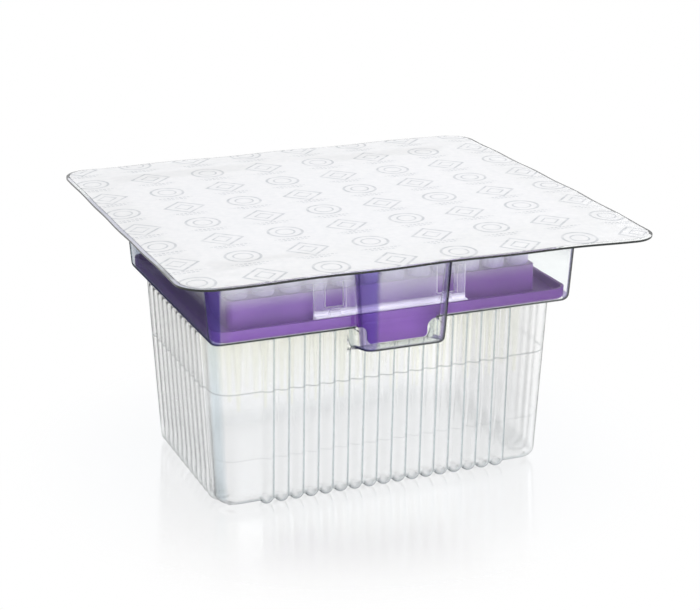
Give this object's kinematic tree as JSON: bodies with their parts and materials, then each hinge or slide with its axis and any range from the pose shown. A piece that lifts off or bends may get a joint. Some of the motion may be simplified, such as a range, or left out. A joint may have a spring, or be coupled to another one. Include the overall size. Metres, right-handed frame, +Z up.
{
  "type": "sealed refill box of pipette tips",
  "caption": "Clear ribbed blister tray with a wide sealing flange and peelable sheet, holding a purple rack of pipette tips with clear latch plates.",
  "frame": {"origin": "centre of the footprint, on the surface that the tray's feet stand on", "axes": "+Z up; X along the long side of the flange, across the twelve columns; -Y is the front"},
  "size_m": [0.1586, 0.1494, 0.0899],
  "materials": {
    "clear_pet": "clear thermoformed polyester sheet, glossy",
    "lidding": "white peelable lidding, matt, with a faint grey overprint",
    "purple_pp": "purple moulded polypropylene, satin",
    "hazy_pp": "natural hazy polypropylene, satin",
    "natural_pp": "natural translucent polypropylene, satin"
  },
  "bodies": {
    "root": {"blister_tray": "clear_pet", "lid_sheet": "lidding", "tip_rack": "purple_pp", "latch_plate_front": "hazy_pp", "latch_plate_rear": "hazy_pp", "tip_column_01": "natural_pp", "tip_column_02": "natural_pp", "tip_column_03": "natural_pp", "tip_column_04": "natural_pp", "tip_column_05": "natural_pp", "tip_column_06": "natural_pp", "tip_column_07": "natural_pp", "tip_column_08": "natural_pp", "tip_column_09": "natural_pp", "tip_column_10": "natural_pp", "tip_column_11": "natural_pp", "tip_column_12": "natural_pp"}
  },
  "joints": []
}
